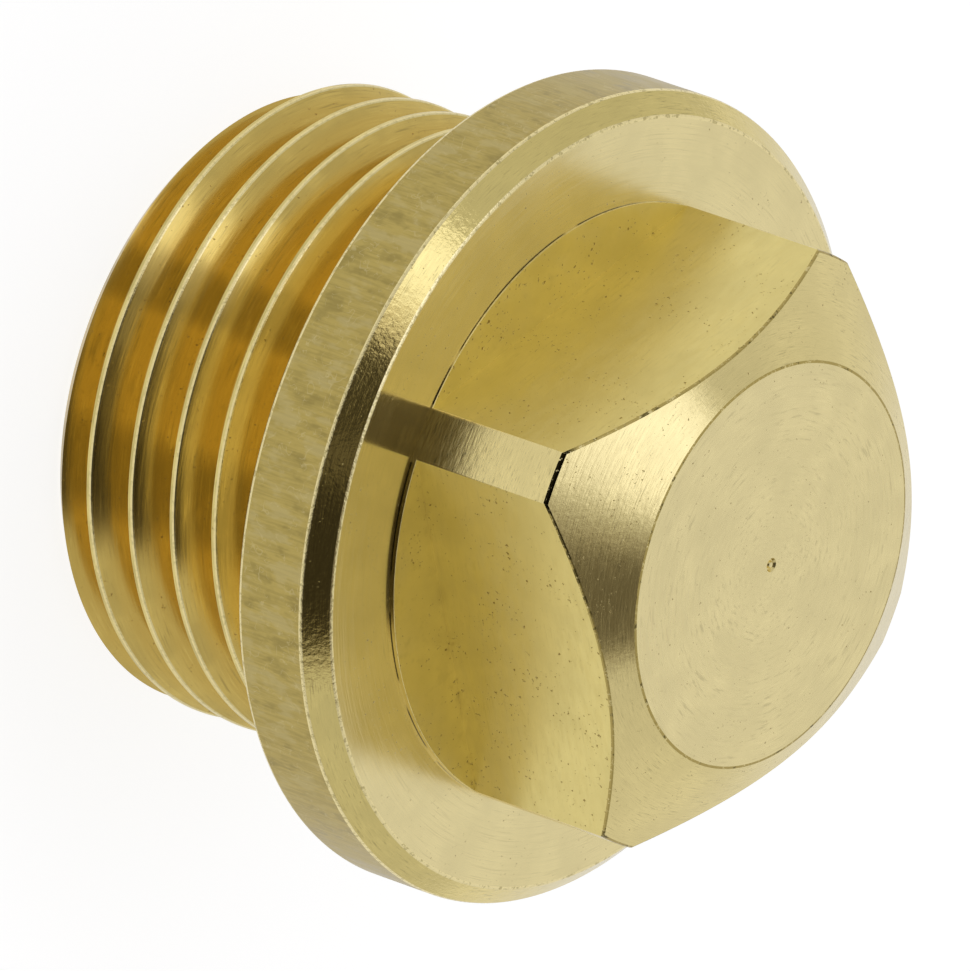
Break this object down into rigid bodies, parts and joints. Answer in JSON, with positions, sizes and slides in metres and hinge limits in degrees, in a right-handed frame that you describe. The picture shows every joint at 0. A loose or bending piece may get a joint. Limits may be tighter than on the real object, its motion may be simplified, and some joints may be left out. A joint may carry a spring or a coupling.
{
  "type": "threaded plug",
  "caption": "Turned brass screw plug with a fine thread, a round sealing collar and a chamfered square drive head.",
  "frame": {"origin": "on the axis, at the middle of the thread's free end, on which the plug stands", "axes": "+Z along the plug's axis from the thread towards the head; X and Y square to the head's flats"},
  "size_m": [0.023, 0.023, 0.0184],
  "materials": {
    "brass": "turned and milled, bare"
  },
  "bodies": {
    "root": {"plug": "brass"}
  },
  "joints": []
}
